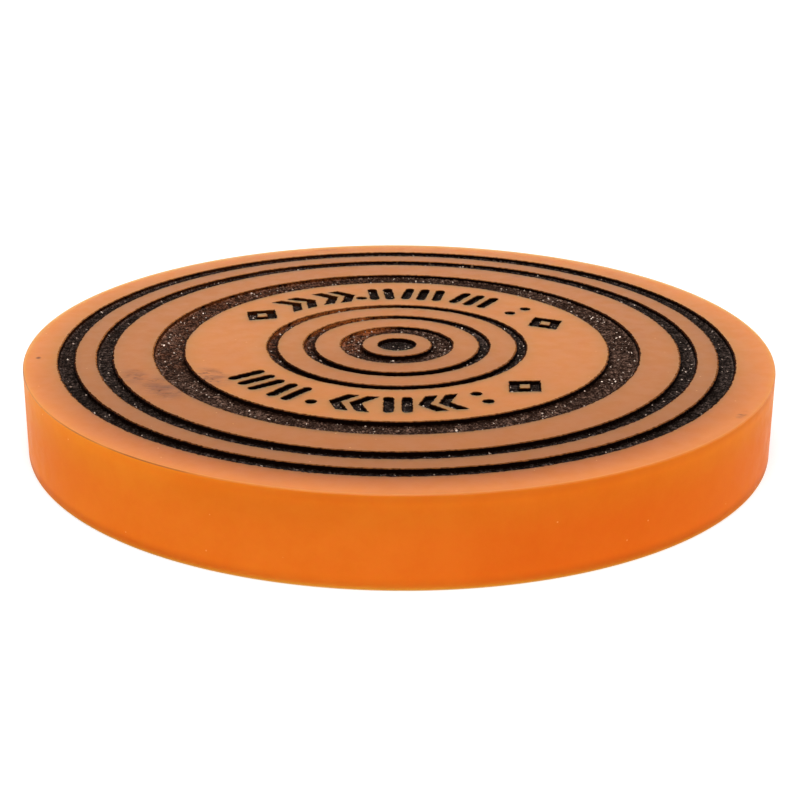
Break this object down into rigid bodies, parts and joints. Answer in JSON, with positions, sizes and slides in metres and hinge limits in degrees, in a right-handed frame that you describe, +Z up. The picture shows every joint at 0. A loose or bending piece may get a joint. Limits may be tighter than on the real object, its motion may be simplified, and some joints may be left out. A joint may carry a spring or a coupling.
{
  "type": "table hockey puck",
  "caption": "Flat round game puck of translucent orange plastic that slides on a table, with engraved dark-filled target rings, a centre dot and arcs of plain ornaments on its top face.",
  "frame": {"origin": "centre of the flat bottom face", "axes": "+Z up out of the engraved top face, across the disc; +Y towards the upper arc of ornaments; +X to the right when the upper arc is read upright"},
  "size_m": [0.0636, 0.0636, 0.0074],
  "materials": {
    "orange_plastic": "translucent orange plastic, satin on the faces and polished on the rim",
    "black_fill": "rough dark crust with fine glints",
    "brown_fill": "rough brown-black crust with fine glints"
  },
  "bodies": {
    "root": {"puck_body": "orange_plastic", "outer_ring_fill": "black_fill", "second_ring_fill": "black_fill", "third_ring_fill": "black_fill", "fourth_ring_fill": "black_fill", "centre_dot_fill": "black_fill", "upper_ornament_fill": "black_fill", "lower_ornament_fill": "black_fill", "broad_ring_fill": "brown_fill", "bullseye_ring_fill": "brown_fill"}
  },
  "joints": []
}
